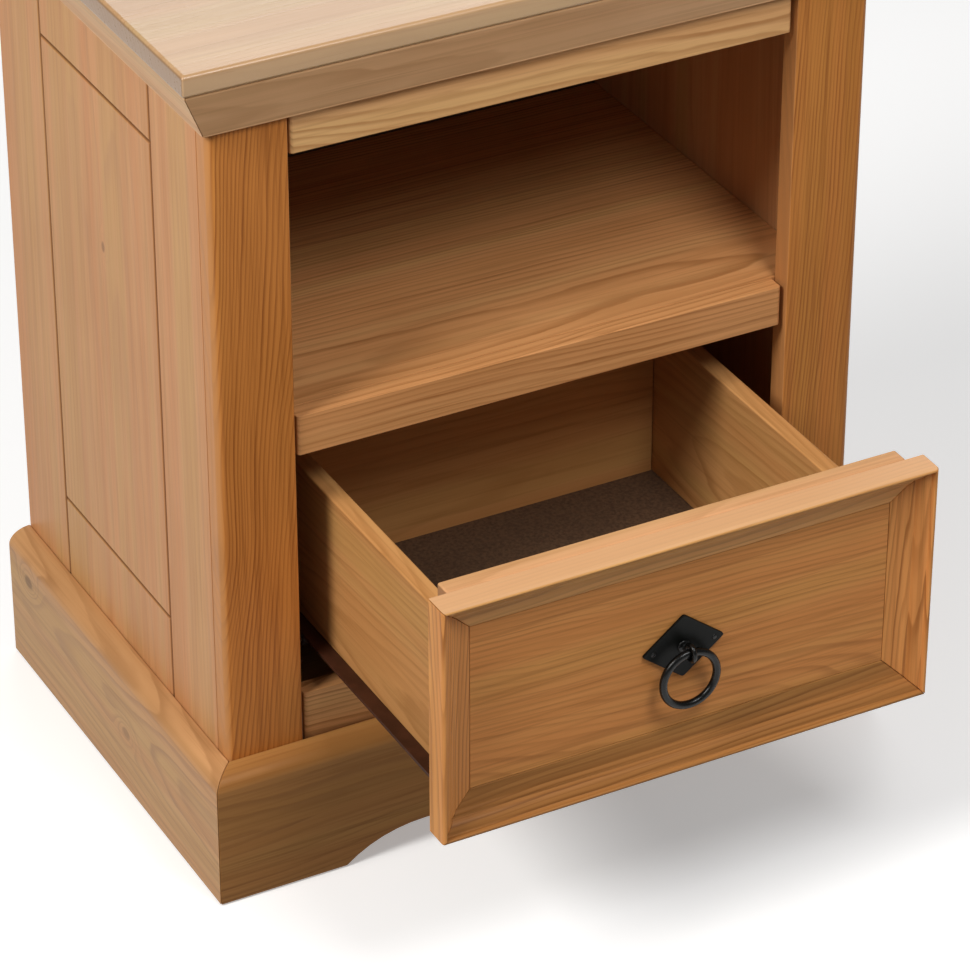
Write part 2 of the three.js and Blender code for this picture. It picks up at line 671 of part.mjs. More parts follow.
function handlePlate() {
  const halfWidth = PLATE_WIDTH / 2;
  const halfHeight = PLATE_HEIGHT / 2;
  const c = PLATE_CORNER;
  const slope = halfHeight / halfWidth;
  const shape = new THREE.Shape();
  shape.moveTo(halfWidth - c, -c * slope);
  shape.quadraticCurveTo(halfWidth, 0, halfWidth - c, c * slope);
  shape.lineTo(c, halfHeight - c * slope);
  shape.quadraticCurveTo(0, halfHeight, -c, halfHeight - c * slope);
  shape.lineTo(-halfWidth + c, c * slope);
  shape.quadraticCurveTo(-halfWidth, 0, -halfWidth + c, -c * slope);
  shape.lineTo(-c, -halfHeight + c * slope);
  shape.quadraticCurveTo(0, -halfHeight, c, -halfHeight + c * slope);
  const hole = new THREE.Path();
  hole.absarc(0, 0, STUD_HOLE_RADIUS, 0, 2 * Math.PI, true);
  shape.holes.push(hole);
  const mesh = named("handle_plate", prism(shape, PLATE_THICKNESS, 4), blackIron);
  return aim(mesh, X, Z, new THREE.Vector3(0, PLATE_BACK, HANDLE_Z));
}

// An iron eye on a threaded stud, which runs back through the plate, the panel and the box front.
function handleEye() {
  const loop = named("loop", new THREE.TorusGeometry(EYE_RADIUS, EYE_WIRE_RADIUS, 10, 24), blackIron);
  loop.rotation.y = Math.PI / 2;
  loop.position.set(0, PIVOT_Y, HANDLE_Z);
  const start = PIVOT_Y + EYE_RADIUS;
  const end = BOX_FRONT_END + GAP + NUT_THICKNESS + 2;
  const studShape = new THREE.CylinderGeometry(STUD_RADIUS, STUD_RADIUS, end - start, 16);
  const stud = named("stud", studShape, blackIron);
  stud.position.set(0, (start + end) / 2, HANDLE_Z);
  return joined("handle_eye", blackIron, [loop, stud]);
}

function handleNut() {
  const corner = NUT_FLATS / Math.sqrt(3);
  const corners = [0, 1, 2, 3, 4, 5].map((i) => (i * Math.PI) / 3);
  const shape = outline(corners.map((a) => [corner * Math.cos(a), corner * Math.sin(a)]));
  const hole = new THREE.Path();
  hole.absarc(0, 0, STUD_HOLE_RADIUS, 0, 2 * Math.PI, true);
  shape.holes.push(hole);
  const mesh = named("handle_nut", prism(shape, NUT_THICKNESS), zincSteel);
  return aim(mesh, X, Z, new THREE.Vector3(0, BOX_FRONT_END + GAP + NUT_THICKNESS, HANDLE_Z));
}

function handleRing() {
  const geometry = new THREE.TorusGeometry(RING_RADIUS, RING_WIRE_RADIUS, 12, 40);
  const mesh = named("handle_ring", geometry, blackIron);
  mesh.rotation.x = Math.PI / 2;
  mesh.position.set(0, PIVOT_Y, HANDLE_Z - RING_RADIUS);
  return mesh;
}

// ---- assembly -----------------------------------------------------------------------------------

const drawer = new THREE.Group();
drawer.add(
  drawerPanel(),
  ...drawerFrame(),
  ...drawerBox(),
  ...SIDES.flatMap(drawerRunning),
  handlePlate(),
  handleEye(),
  handleNut(),
  handleRing(),
);
drawer.position.y = -DRAWER_OUT;

const cabinet = new THREE.Group();
cabinet.add(
  topBoard(),
  ...cornice(),
  ...faceFrame(),
  ...SIDES.map(milledSide),
  ...inside(),
  ...plinth(),
  ...SIDES.flatMap(cabinetRunning),
  drawer,
);
cabinet.position.y = -FOOTPRINT_MIDDLE;

const group = new THREE.Group();
group.add(cabinet);

export default group;
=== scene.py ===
"""Looks for a country-style pine bedside cabinet with one drawer and an iron ring pull.

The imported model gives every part's place. This script gives the boards their wood, rounds their edges,
replaces the iron pull with smooth forged pieces, and sets up a plain studio. Metres, +Z up, -Y the front.
"""

import math
import random

import bmesh
import bpy
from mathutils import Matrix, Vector


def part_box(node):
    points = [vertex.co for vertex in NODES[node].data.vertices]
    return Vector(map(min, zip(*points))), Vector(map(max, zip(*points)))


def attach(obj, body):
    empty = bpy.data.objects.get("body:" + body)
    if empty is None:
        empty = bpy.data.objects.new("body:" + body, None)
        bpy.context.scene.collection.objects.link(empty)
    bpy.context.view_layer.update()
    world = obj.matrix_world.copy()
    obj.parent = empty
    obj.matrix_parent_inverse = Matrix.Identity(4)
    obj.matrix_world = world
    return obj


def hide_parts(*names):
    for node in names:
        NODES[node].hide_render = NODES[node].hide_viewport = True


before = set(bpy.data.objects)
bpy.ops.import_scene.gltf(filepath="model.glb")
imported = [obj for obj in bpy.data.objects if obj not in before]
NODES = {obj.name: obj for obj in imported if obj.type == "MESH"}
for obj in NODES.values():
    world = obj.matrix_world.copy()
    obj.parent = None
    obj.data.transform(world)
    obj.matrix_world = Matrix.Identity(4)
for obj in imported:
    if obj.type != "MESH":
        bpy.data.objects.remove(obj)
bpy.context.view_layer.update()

MM = 0.001
SIDES = ("left", "right")


# ---- colours ------------------------------------------------------------------------------------


def linear(red, green, blue):
    """An sRGB colour in 0 to 255 as linear RGBA."""

    def channel(value):
        value /= 255
        if value <= 0.04045:
            return value / 12.92
        return ((value + 0.055) / 1.055) ** 2.4

    return (channel(red), channel(green), channel(blue), 1)


# ---- node helpers -------------------------------------------------------------------------------


class Graph:
    """A material's node tree, with short calls for the nodes used here."""

    def __init__(self, name):
        self.material = bpy.data.materials.new(name)
        self.material.use_nodes = True
        self.tree = self.material.node_tree
        self.shader = self.tree.nodes["Principled BSDF"]

    def put(self, socket, value):
        if isinstance(value, bpy.types.NodeSocket):
            self.tree.links.new(value, socket)
        else:
            socket.default_value = value

    def node(self, kind, **inputs):
        made = self.tree.nodes.new(kind)
        for name, value in inputs.items():
            self.put(made.inputs[name], value)
        return made

    def math(self, operation, *values):
        made = self.tree.nodes.new("ShaderNodeMath")
        made.operation = operation
        for socket, value in zip(made.inputs, values):
            self.put(socket, value)
        return made.outputs[0]

    def vector(self, operation, *values, output="Vector"):
        made = self.tree.nodes.new("ShaderNodeVectorMath")
        made.operation = operation
        for socket, value in zip(made.inputs, values):
            self.put(socket, value)
        return made.outputs[output]

    def combine(self, x, y, z):
        return self.node("ShaderNodeCombineXYZ", X=x, Y=y, Z=z).outputs[0]

    def noise(self, position, scale=1.0, detail=2.0, roughness=0.5, seed=0.0):
        made = self.tree.nodes.new("ShaderNodeTexNoise")
        made.noise_dimensions = "4D"
        self.put(made.inputs["Vector"], position)
        self.put(made.inputs["Scale"], scale)
        self.put(made.inputs["Detail"], detail)
        self.put(made.inputs["Roughness"], roughness)
        self.put(made.inputs["W"], seed)
        return made.outputs["Fac"]

    def ramp(self, value, stops):
        made = self.tree.nodes.new("ShaderNodeMapRange")
        made.interpolation_type = "SMOOTHSTEP"
        low, high, to_low, to_high = stops
        self.put(made.inputs["Value"], value)
        self.put(made.inputs["From Min"], low)
        self.put(made.inputs["From Max"], high)
        self.put(made.inputs["To Min"], to_low)
        self.put(made.inputs["To Max"], to_high)
        return made.outputs["Result"]

    def blend(self, amount, first, second):
        made = self.tree.nodes.new("ShaderNodeMix")
        made.data_type = "RGBA"
        self.put(made.inputs["Factor"], amount)
        colours = [socket for socket in made.inputs if socket.type == "RGBA"]
        self.put(colours[0], first)
        self.put(colours[1], second)
        return next(socket for socket in made.outputs if socket.type == "RGBA")

    def bump(self, height, distance, strength):
        made = self.node("ShaderNodeBump", Height=height, Distance=distance, Strength=strength)
        return made.outputs["Normal"]


# ---- pine ---------------------------------------------------------------------------------------

GROOVE_BROWN = (98, 58, 28)
KNOT_BROWN = (74, 42, 20)
PITH_WANDER = 4  # how many times the waviness the trunk's middle can stray
YEAR_DRIFT = 2.2  # how far the widths of the years stray, in years
GRAIN_WOBBLE = 0.9  # the grain's small waves, in years
LINE_RISE = (0.38, 0.86, 0.0, 1.0)  # where in a year its dark line builds up
LINE_FALL = (0.88, 1.0, 1.0, 0.0)  # and where it ends
KNOT_SWELL = 3.5  # how far the rings part round a knot, in ring spacings
KNOT_REACH = -0.22  # how quickly that dies away with distance
KNOT_EDGE = (0.55, 1.15)  # where a knot's dark mark fades, in its own half sizes

# The pale tone's red, green and blue are multiplied by these for the wood's other shades.
DEEP_SHADE = (0.74, 0.66, 0.56)
ROSY_SHADE = (0.94, 0.82, 0.76)
STRAW_SHADE = (0.90, 0.98, 0.86)
END_GRAIN_SHADE = (0.5, 0.42, 0.34)

END_GRAIN = (0.7, 0.95, 0.0, 0.88)  # how square to the grain a face is, and how much it darkens
TURNED = (0.35, 0.85)  # how far a face is turned before it takes a painted lit tone
LIT_FLANK_STRENGTH = 0.7
LIT_LEDGE_STRENGTH = 0.75
COAT_ROUGHNESS = 0.28

# Bump distances in metres.
PINE_BUMP = 0.00018
PAINT_BUMP = 0.00012
HARDBOARD_BUMP = 0.0002

# Where the grooves are milled in the sides' outer faces, and how deep.
GROOVE_Y = (19 * MM, 178 * MM)
GROOVE_Z = (150 * MM, 478 * MM)
GROOVE_DEPTH = 1.6 * MM


def shaded(colour, shade):
    return (colour[0] * shade[0], colour[1] * shade[1], colour[2] * shade[2], 1)


def groove_mark(g, position, face):
    """How much a side's milled grooves are darkened: most in the groove, none beside it."""
    split = g.node("ShaderNodeSeparateXYZ", Vector=position)
    x, y, z = split.outputs["X"], split.outputs["Y"], split.outputs["Z"]

    def away(value, places):
        first, second = [g.math("ABSOLUTE", g.math("SUBTRACT", value, place)) for place in places]
        return g.math("MINIMUM", first, second)

    middle, reach = (GROOVE_Y[0] + GROOVE_Y[1]) / 2, (GROOVE_Y[1] - GROOVE_Y[0]) / 2
    past_end = g.math("SUBTRACT", g.math("ABSOLUTE", g.math("SUBTRACT", y, middle)), reach)
    level = g.math("MAXIMUM", away(z, GROOVE_Z), past_end)
    nearest = g.math("MINIMUM", away(y, GROOVE_Y), level)
    below_face = g.math("ABSOLUTE", g.math("SUBTRACT", x, face))
    nearest = g.math("MAXIMUM", nearest, g.math("SUBTRACT", below_face, GROOVE_DEPTH))
    return g.ramp(nearest, (0.5 * MM, 1.7 * MM, 0.85, 0.0))


def pine(name, tone, late, along, **look):
    """A board's own solid wood: yearly rings round a pith that runs along the board, with fibres.

    tone and late are the sRGB colours of the pale wood and of the dark ring lines. along is the axis the
    grain runs on. pith is the ring centre's distance from the board's middle on the two other axes, in mm.
    taper makes the rings cones, so that their lines lean and close into arches along the board. flank and
    ledge are painted light: paler, lit tones for its X faces and for its upward faces. milled is the X of
    a grooved face.
    """
    pith = look.get("pith", (60, 25))
    spacing = look.get("spacing", 3.2) * MM
    contrast = look.get("contrast", 0.6)
    waviness = look.get("waviness", 4.0) * MM
    gloss = look.get("gloss", 0.42)
    seed = look["seed"]

    g = Graph(name)
    coordinates = g.node("ShaderNodeTexCoord")
    position = coordinates.outputs["Object"]
    local = g.vector("SUBTRACT", position, tuple(look["middle"]))
    split = g.node("ShaderNodeSeparateXYZ", Vector=local)
    first, second = [axis for axis in "XYZ" if axis != along]
    u, v, w = split.outputs[first], split.outputs[second], split.outputs[along]

    def grain_noise(across, lengthwise, shift, **settings):
        """Noise scaled apart across the grain and along it. shift keeps one noise unlike the next."""
        place = g.combine(
            g.math("MULTIPLY", u, across), g.math("MULTIPLY", v, across), g.math("MULTIPLY", w, lengthwise)
        )
        return g.noise(place, seed=seed + shift, **settings)

    # The trunk's slow wander, which turns straight lines into long waves and arches.
    sway_u = g.math("SUBTRACT", grain_noise(9.0, 3.2, 0.0), 0.5)
    sway_v = g.math("SUBTRACT", grain_noise(9.0, 3.2, 17.0), 0.5)
    shifted_u = g.math("MULTIPLY_ADD", sway_u, waviness * PITH_WANDER, u)
    shifted_v = g.math("MULTIPLY_ADD", sway_v, waviness * PITH_WANDER, v)

    tone_shift = None
    across_first = look.get("stave_axis") == first
    for edge, tint, offset in look.get("staves", ()):
        # Boards glued edge to edge: past each joint the wood comes from another part of the trunk.
        past = g.math("GREATER_THAN", u if across_first else v, edge * MM)
        if across_first:
            shifted_u = g.math("MULTIPLY_ADD", past, offset * MM, shifted_u)
        else:
            shifted_v = g.math("MULTIPLY_ADD", past, offset * MM, shifted_v)
        step = g.math("MULTIPLY", past, tint)
        tone_shift = step if tone_shift is None else g.math("ADD", tone_shift, step)

    from_pith_u = g.math("SUBTRACT", shifted_u, pith[0] * MM)
    from_pith_v = g.math("SUBTRACT", shifted_v, pith[1] * MM)
    radius = g.vector("LENGTH", g.combine(from_pith_u, from_pith_v, 0.0), output="Value")
    radius = g.math("MULTIPLY_ADD", w, look.get("taper", 0.03), radius)

    knot_mark = None
    for place, size, depth in look.get("knots", ()):
        # The rings part round a branch, and the branch itself shows dark.
        gap = g.vector("SUBTRACT", position, tuple(c * MM for c in place))
        stretch = tuple(1 / (s * MM) for s in size)
        distance = g.vector("LENGTH", g.vector("MULTIPLY", gap, stretch), output="Value")
        swell = g.math("EXPONENT", g.math("MULTIPLY", g.math("POWER", distance, 2.0), KNOT_REACH))
        radius = g.math("MULTIPLY_ADD", swell, spacing * KNOT_SWELL, radius)
        mark = g.ramp(distance, (*KNOT_EDGE, depth, 0.0))
        knot_mark = mark if knot_mark is None else g.math("MAXIMUM", knot_mark, mark)

    # Wide and narrow years, and the small waves of the grain.
    uneven = g.noise(g.combine(g.math("MULTIPLY", radius, 95.0), 0.0, 0.0), seed=seed + 9.0)
    wobble = grain_noise(60.0, 17.0, 5.0, detail=3.0)
    count = g.math("DIVIDE", radius, spacing)
    count = g.math("MULTIPLY_ADD", uneven, YEAR_DRIFT, count)
    count = g.math("MULTIPLY_ADD", wobble, GRAIN_WOBBLE, count)
    year = g.math("FLOOR", count)
    phase = g.math("FRACT", count)
    rise = g.ramp(phase, LINE_RISE)
    fall = g.ramp(phase, LINE_FALL)
    random_year = g.tree.nodes.new("ShaderNodeTexWhiteNoise")
    random_year.noise_dimensions = "1D"
    g.put(random_year.inputs["W"], year)
    year_weight = g.math("MULTIPLY_ADD", random_year.outputs["Value"], 0.6, 0.4)
    fading = g.ramp(grain_noise(40.0, 9.0, 11.0), (0.3, 0.65, 0.45, 1.0))
    line = g.math("MULTIPLY", g.math("MULTIPLY", rise, fall), g.math("MULTIPLY", year_weight, fading))

    fibre = grain_noise(850.0, 14.0, 2.0, detail=3.0, roughness=0.6)
    strand = grain_noise(330.0, 7.0, 6.0, detail=2.0, roughness=0.6)
    streak = grain_noise(120.0, 3.0, 3.0, detail=2.0)
    band = grain_noise(look.get("band", 42.0), 1.1, 8.0, detail=1.0)
    cloud = g.noise(local, scale=11.0, detail=2.0, seed=seed + 4.0)

    tone_colour, late_colour = linear(*tone), linear(*late)
    deep = shaded(tone_colour, DEEP_SHADE)
    rosy = shaded(tone_colour, ROSY_SHADE)
    straw = shaded(tone_colour, STRAW_SHADE)
    banding = look.get("banding", 0.5)
    colour = g.blend(g.ramp(band, (0.42, 0.62, 0.0, banding)), tone_colour, rosy)
    colour = g.blend(g.ramp(band, (0.36, 0.50, banding, 0.0)), colour, straw)
    colour = g.blend(g.math("MULTIPLY", line, contrast), colour, late_colour)
    colour = g.blend(g.ramp(streak, (0.42, 0.70, 0.0, 0.38)), colour, deep)
    colour = g.blend(g.ramp(cloud, (0.40, 0.70, 0.0, 0.22)), colour, deep)
    colour = g.blend(g.ramp(strand, (0.48, 0.72, 0.0, 0.34)), colour, late_colour)
    colour = g.blend(g.ramp(fibre, (0.50, 0.80, 0.0, 0.25)), colour, late_colour)
    if tone_shift is not None:
        colour = g.blend(tone_shift, colour, deep)
    # Cut across the fibres, wood drinks more finish and turns darker.
    normal = g.node("ShaderNodeSeparateXYZ", Vector=coordinates.outputs["Normal"])
    end_grain = g.ramp(g.math("ABSOLUTE", normal.outputs[along]), END_GRAIN)
    colour = g.blend(end_grain, colour, shaded(tone_colour, END_GRAIN_SHADE))
    if "flank" in look:
        # Painted light: both X faces take a paler, lit tone, near the tone the light gives the cabinet's
        # side.
        sideways = g.math("ABSOLUTE", normal.outputs["X"])
        paler = g.ramp(sideways, (*TURNED, 0.0, LIT_FLANK_STRENGTH))
        colour = g.blend(paler, colour, linear(*look["flank"]))
    if "ledge" in look:
        # Painted light: faces that look up take a paler, lit tone than the slope below them.
        upward = g.ramp(normal.outputs["Z"], (*TURNED, 0.0, LIT_LEDGE_STRENGTH))
        colour = g.blend(upward, colour, linear(*look["ledge"]))
    if "milled" in look:
        colour = g.blend(groove_mark(g, position, look["milled"]), colour, linear(*GROOVE_BROWN))
    if knot_mark is not None:
        colour = g.blend(knot_mark, colour, linear(*KNOT_BROWN))

    g.put(g.shader.inputs["Base Color"], colour)
    rough = g.math("MULTIPLY_ADD", fibre, 0.22, gloss - 0.11)
    g.put(g.shader.inputs["Roughness"], g.math("MULTIPLY_ADD", line, -0.06, rough))
    height = g.math("ADD", g.math("MULTIPLY", line, 0.55), g.math("MULTIPLY", fibre, 0.45))
    g.put(g.shader.inputs["Normal"], g.bump(height, PINE_BUMP, look.get("relief", 0.55)))
    g.shader.inputs["Specular IOR Level"].default_value = look.get("shine", 0.14)
    g.shader.inputs["Coat Weight"].default_value = look.get("coat", 0.0)
    g.shader.inputs["Coat Roughness"].default_value = COAT_ROUGHNESS
    return g.material


# ---- other materials ----------------------------------------------------------------------------


def painted(name, colour, metallic, rough, grain, relief, shine=0.5):
    """Painted, plated or moulded stuff: a mottled base with a fine grain in its gloss and surface."""
    g = Graph(name)
    position = g.node("ShaderNodeTexCoord").outputs["Object"]
    mottle = g.noise(position, scale=90.0, detail=4.0, seed=1.0)
    speck = g.noise(position, scale=grain, detail=3.0, roughness=0.6, seed=2.0)
    base = linear(*colour)
    darker = tuple(c * 0.62 for c in base[:3]) + (1,)
    g.put(g.shader.inputs["Base Color"], g.blend(g.ramp(mottle, (0.35, 0.7, 0.0, 0.8)), base, darker))
    g.shader.inputs["Metallic"].default_value = metallic
    g.shader.inputs["Specular IOR Level"].default_value = shine
    g.put(g.shader.inputs["Roughness"], g.math("MULTIPLY_ADD", speck, 0.25, rough - 0.12))
    g.put(g.shader.inputs["Normal"], g.bump(speck, PAINT_BUMP, relief))
    return g.material


def pressed_board(name):
    """Hardboard: matted brown fibres with no direction."""
    g = Graph(name)
    position = g.node("ShaderNodeTexCoord").outputs["Object"]
    mat = g.noise(position, scale=420.0, detail=5.0, roughness=0.7, seed=3.0)
    cloud = g.noise(position, scale=14.0, detail=2.0, seed=4.0)
    colour = g.blend(g.ramp(mat, (0.35, 0.7, 0.0, 1.0)), linear(104, 76, 52), linear(70, 48, 31))
    g.put(
        g.shader.inputs["Base Color"],
        g.blend(g.math("MULTIPLY", cloud, 0.4), colour, linear(58, 40, 26)),
    )
    g.put(g.shader.inputs["Roughness"], g.math("MULTIPLY_ADD", mat, 0.2, 0.62))
    g.put(g.shader.inputs["Normal"], g.bump(mat, HARDBOARD_BUMP, 0.5))
    return g.material


# ---- giving the CAD parts their looks -----------------------------------------------------------


WELD_DISTANCE = 0.00001  # metres
FLAT_ANGLE = math.radians(0.4)  # faces nearer to one plane than this are joined
EDGE_ANGLE = math.radians(32)  # edges sharper than this are rounded


def rounded(node, width, segments=3):
    """Rounds a part's hard edges and shades its curves smoothly, without touching its mesh."""
    piece = NODES[node]
    weld = piece.modifiers.new("weld", "WELD")
    weld.merge_threshold = WELD_DISTANCE
    flat = piece.modifiers.new("flat", "DECIMATE")
    flat.decimate_type = "DISSOLVE"
    flat.angle_limit = FLAT_ANGLE
    bevel = piece.modifiers.new("edge", "BEVEL")
    bevel.width = width * MM
    bevel.segments = segments
    bevel.limit_method = "ANGLE"
    bevel.angle_limit = EDGE_ANGLE
    bevel.use_clamp_overlap = True
    piece.modifiers.new("shade", "WEIGHTED_NORMAL")


def dress(node, material, width, segments=3):
    piece = NODES[node]
    piece.data.materials.clear()
    piece.data.materials.append(material)
    rounded(node, width, segments)


def wood(node, tone, late, along, edge=1.0, like=None, **look):
    """Gives a board its own piece of pine, or the same piece as the board named by like."""
    low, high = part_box(like or node)
    seeded = random.Random(like or node)
    look.setdefault("seed", seeded.uniform(0, 400))
    look.setdefault("pith", (seeded.uniform(35, 90), seeded.uniform(-40, 40)))
    material = pine(f"pine_{node}", tone, late, along, middle=(low + high) / 2, **look)
    dress(node, material, edge)


# Tones of the pale wood and of the ring lines, by place on the cabinet. Some of them carry painted light
# or shade, as marked.
TOP = (194, 157, 114), (166, 124, 82)
# Painted light: the cornice is made paler than its wood to stand in for light from below on its downward
# faces.
LIT_MOULDING = (246, 200, 150), (190, 136, 88)
SIDE = (216, 160, 110), (178, 120, 70)
FRAME = (208, 136, 66), (124, 62, 18)
# Painted light: the face stiles' sideways faces take this paler tone, the look the light from the left
# gives the cabinet's side.
LIT_FLANK = (206, 146, 92)
RAIL = (226, 166, 108), (150, 92, 44)
# The top rail is paler than the other rails: partly its own board's tone, partly painted light making up
# for the cornice's shade on it.
TOP_RAIL = (242, 188, 130), (172, 114, 62)
PLINTH_SIDE = (206, 158, 108), (150, 102, 60)
# The plinth front is darker than its sides: partly its own board's tone, partly the drawer's shadow
# painted in.
PLINTH_FRONT = (182, 130, 74), (116, 70, 30)
DRAWER = (232, 160, 92), (148, 86, 36)
# Painted light and shade: the drawer frame's top member is a paler, lit copy of its pine and its bottom
# member a darker, shaded copy.
LIT_DRAWER_TOP = (250, 186, 116), (186, 122, 62)
SHADED_DRAWER_FOOT = (180, 126, 70), (116, 72, 32)
# Painted light: the paler, lit tone of the drawer frame top's upward faces.
LIT_LEDGE = (212, 168, 128)
BOX = (206, 152, 94), (152, 100, 50)
BOX_FRONT = (224, 172, 124), (178, 126, 78)
# Painted shade: a darker copy of the side's pine for the boards inside the cabinet, which sit in shade.
SHADED_INSIDE = (176, 128, 82), (130, 86, 48)

wood(
    "top_board",
    *TOP,
    "X",
    1.2,
    pith=(30, -70),
    spacing=4.5,
    contrast=0.35,
    gloss=0.32,
    shine=0.5,
    coat=0.4,
)
for part in ("cornice_front", "cornice_left", "cornice_right"):
    grain = "X" if part == "cornice_front" else "Y"
    wood(part, *LIT_MOULDING, grain, 0.8, spacing=3.4, contrast=0.42)

wood(
    "face_stile_left",
    *FRAME,
    "Z",
    0.8,
    pith=(74, 34),
    spacing=2.4,
    contrast=0.8,
    waviness=8,
    taper=0.08,
    flank=LIT_FLANK,
    knots=[((-224, -56, 234), (11, 11, 24), 0.12)],
)
wood(
    "face_stile_right",
    *FRAME,
    "Z",
    0.8,
    pith=(58, 30),
    spacing=2.3,
    contrast=0.75,
    taper=0.04,
    flank=LIT_FLANK,
)
for part, tones in (("top_rail", TOP_RAIL), ("middle_rail", RAIL), ("bottom_rail", RAIL)):
    wood(part, *tones, "X", 0.7, pith=(35, -46), spacing=3.3, contrast=0.85, waviness=5)
wood(
    "shelf_board",
    *RAIL,
    "X",
    0.3,
    like="middle_rail",
    pith=(35, -46),
    spacing=3.3,
    contrast=0.7,
    waviness=5,
)

SIDE_FACE = 218  # the X of a side's outer face, in mm

for side, sign in (("left", -1), ("right", 1)):
    wood(
        f"side_{side}",
        *SIDE,
        "Z",
        0.4,
        pith=(sign * 70, 20),
        spacing=4.6,
        contrast=0.34,
        relief=0.4,
        band=48.0,
        banding=0.85,
        stave_axis="Y",
        staves=[(-81, 0.14, 37), (-10, -0.2, -52), (42, 0.16, 61)],
        knots=[((sign * SIDE_FACE, 96, 372), (2.5, 2.5, 4), 0.45)],
        milled=sign * SIDE_FACE * MM,
    )

wood(
    "plinth_left",
    *PLINTH_SIDE,
    "Y",
    0.7,
    pith=(24, 12),
    spacing=5.2,
    contrast=0.6,
    waviness=8,
    taper=0.05,
    knots=[((-234, 212, 70), (4, 7, 5), 0.55), ((-234, 60, 44), (3, 6, 4), 0.35)],
)
wood("plinth_right", *PLINTH_SIDE, "Y", 0.7, pith=(-26, 10), spacing=5.2, contrast=0.6, waviness=8)
wood(
    "plinth_front",
    *PLINTH_FRONT,
    "X",
    0.7,
    pith=(30, 22),
    spacing=4.2,
    contrast=0.65,
    waviness=7,
    stave_axis="Z",
    staves=[(-0.5, 0.25, 23)],
)

# Painted shade: the boards inside the cabinet take the darker, shaded copy of the pine.
for part in ("floor_board", "back_stretcher"):
    wood(part, *SHADED_INSIDE, "X", 0.6, contrast=0.4, gloss=0.6)
for side in SIDES:
    wood(f"runner_batten_{side}", *SHADED_INSIDE, "Y", 0.6, contrast=0.4, gloss=0.6)

wood(
    "drawer_panel",
    *DRAWER,
    "X",
    0.3,
    pith=(34, -60),
    spacing=3.6,
    contrast=0.5,
    waviness=7,
    taper=0.06,
    stave_axis="Z",
    staves=[(-21, 0.0, 27), (16, 0.0, -19)],
)
wood("drawer_frame_top", *LIT_DRAWER_TOP, "X", 0.5, pith=(38, 26), spacing=2.9, contrast=0.6, ledge=LIT_LEDGE)
wood("drawer_frame_bottom", *SHADED_DRAWER_FOOT, "X", 0.5, pith=(38, 26), spacing=2.9, contrast=0.8)
for edge in SIDES:
    wood(f"drawer_frame_{edge}", *DRAWER, "Z", 0.5, pith=(38, 26), spacing=2.6, contrast=0.95)
wood("drawer_box_front", *BOX_FRONT, "X", 1.6, pith=(30, -80), spacing=3.8, contrast=0.45, gloss=0.5)
wood("drawer_back", *BOX, "X", 1.0, spacing=3.8, contrast=0.45, gloss=0.5)
for side in SIDES:
    wood(f"drawer_side_{side}", *BOX, "Y", 1.2, spacing=4.2, contrast=0.62, gloss=0.5, waviness=8)

hardboard = pressed_board("hardboard")
dress("back_panel", hardboard, 0.3)
dress("drawer_bottom", hardboard, 0.3)

brown_paint = painted("brown_paint", (68, 38, 24), 0.0, 0.46, 900.0, 0.3, 0.2)
nylon = painted("nylon", (60, 46, 38), 0.0, 0.5, 1400.0, 0.25, 0.25)
zinc = painted("zinc", (165, 166, 164), 1.0, 0.38, 1500.0, 0.25)
for side in SIDES:
    dress(f"cabinet_runner_{side}", brown_paint, 0.2, 2)
    dress(f"drawer_runner_{side}", brown_paint, 0.2, 2)
    for end in ("front", "rear"):
        dress(f"{end}_roller_{side}", nylon, 0.2, 2)
        dress(f"{end}_roller_pin_{side}", zinc, 0.2, 2)
dress("handle_nut", zinc, 0.25, 2)


# ---- the iron pull ------------------------------------------------------------------------------

iron = painted("black_iron", (11, 11, 10), 0.0, 0.28, 520.0, 0.15, 0.3)
plate_iron = painted("plate_iron", (13, 14, 12), 0.0, 0.4, 520.0, 0.2, 0.12)


EYE_WIRE = 1.5  # the eye's wire radius, in mm
TACK_PLACE = 20.6  # from the plate's middle to each tack, in mm


def piece_from(name, mesh_maker, body, replaced=()):
    made = bmesh.new()
    mesh_maker(made)
    bmesh.ops.recalc_face_normals(made, faces=made.faces)
    mesh = bpy.data.meshes.new(name)
    made.to_mesh(mesh)
    made.free()
    for face in mesh.polygons:
        face.use_smooth = True
    mesh.materials.append(iron)
    piece = bpy.data.objects.new(name, mesh)
    bpy.context.scene.collection.objects.link(piece)
    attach(piece, body)
    if replaced:
        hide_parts(*replaced)
    return piece


FORGED_WAVER = 0.012  # how much of its thickness forged wire gains or loses


def hoop(made, centre, radius, wire, plane, seed, turns=96, sides=20):
    """A closed ring of round wire whose thickness wavers a little, as forged wire does."""
    waver = random.Random(seed)
    waves = [(n, waver.uniform(0, math.tau), waver.uniform(0.4, 1)) for n in (3, 5, 8, 13)]
    rows = []
    for i in range(turns):
        a = math.tau * i / turns
        out = plane[0] * math.cos(a) + plane[1] * math.sin(a)
        wave = sum(s * math.sin(n * a + p) for n, p, s in waves)
        thick = wire * (1 - FORGED_WAVER + FORGED_WAVER * wave / 3)
        flat = plane[0].cross(plane[1])
        row = []
        for k in range(sides):
            b = math.tau * k / sides
            offset = out * (radius + thick * math.cos(b)) + flat * (thick * math.sin(b))
            row.append(made.verts.new(centre + offset))
        rows.append(row)
    for i, row in enumerate(rows):
        following = rows[(i + 1) % turns]
        for k in range(sides):
            n = (k + 1) % sides
            made.faces.new((row[k], row[n], following[n], following[k]))


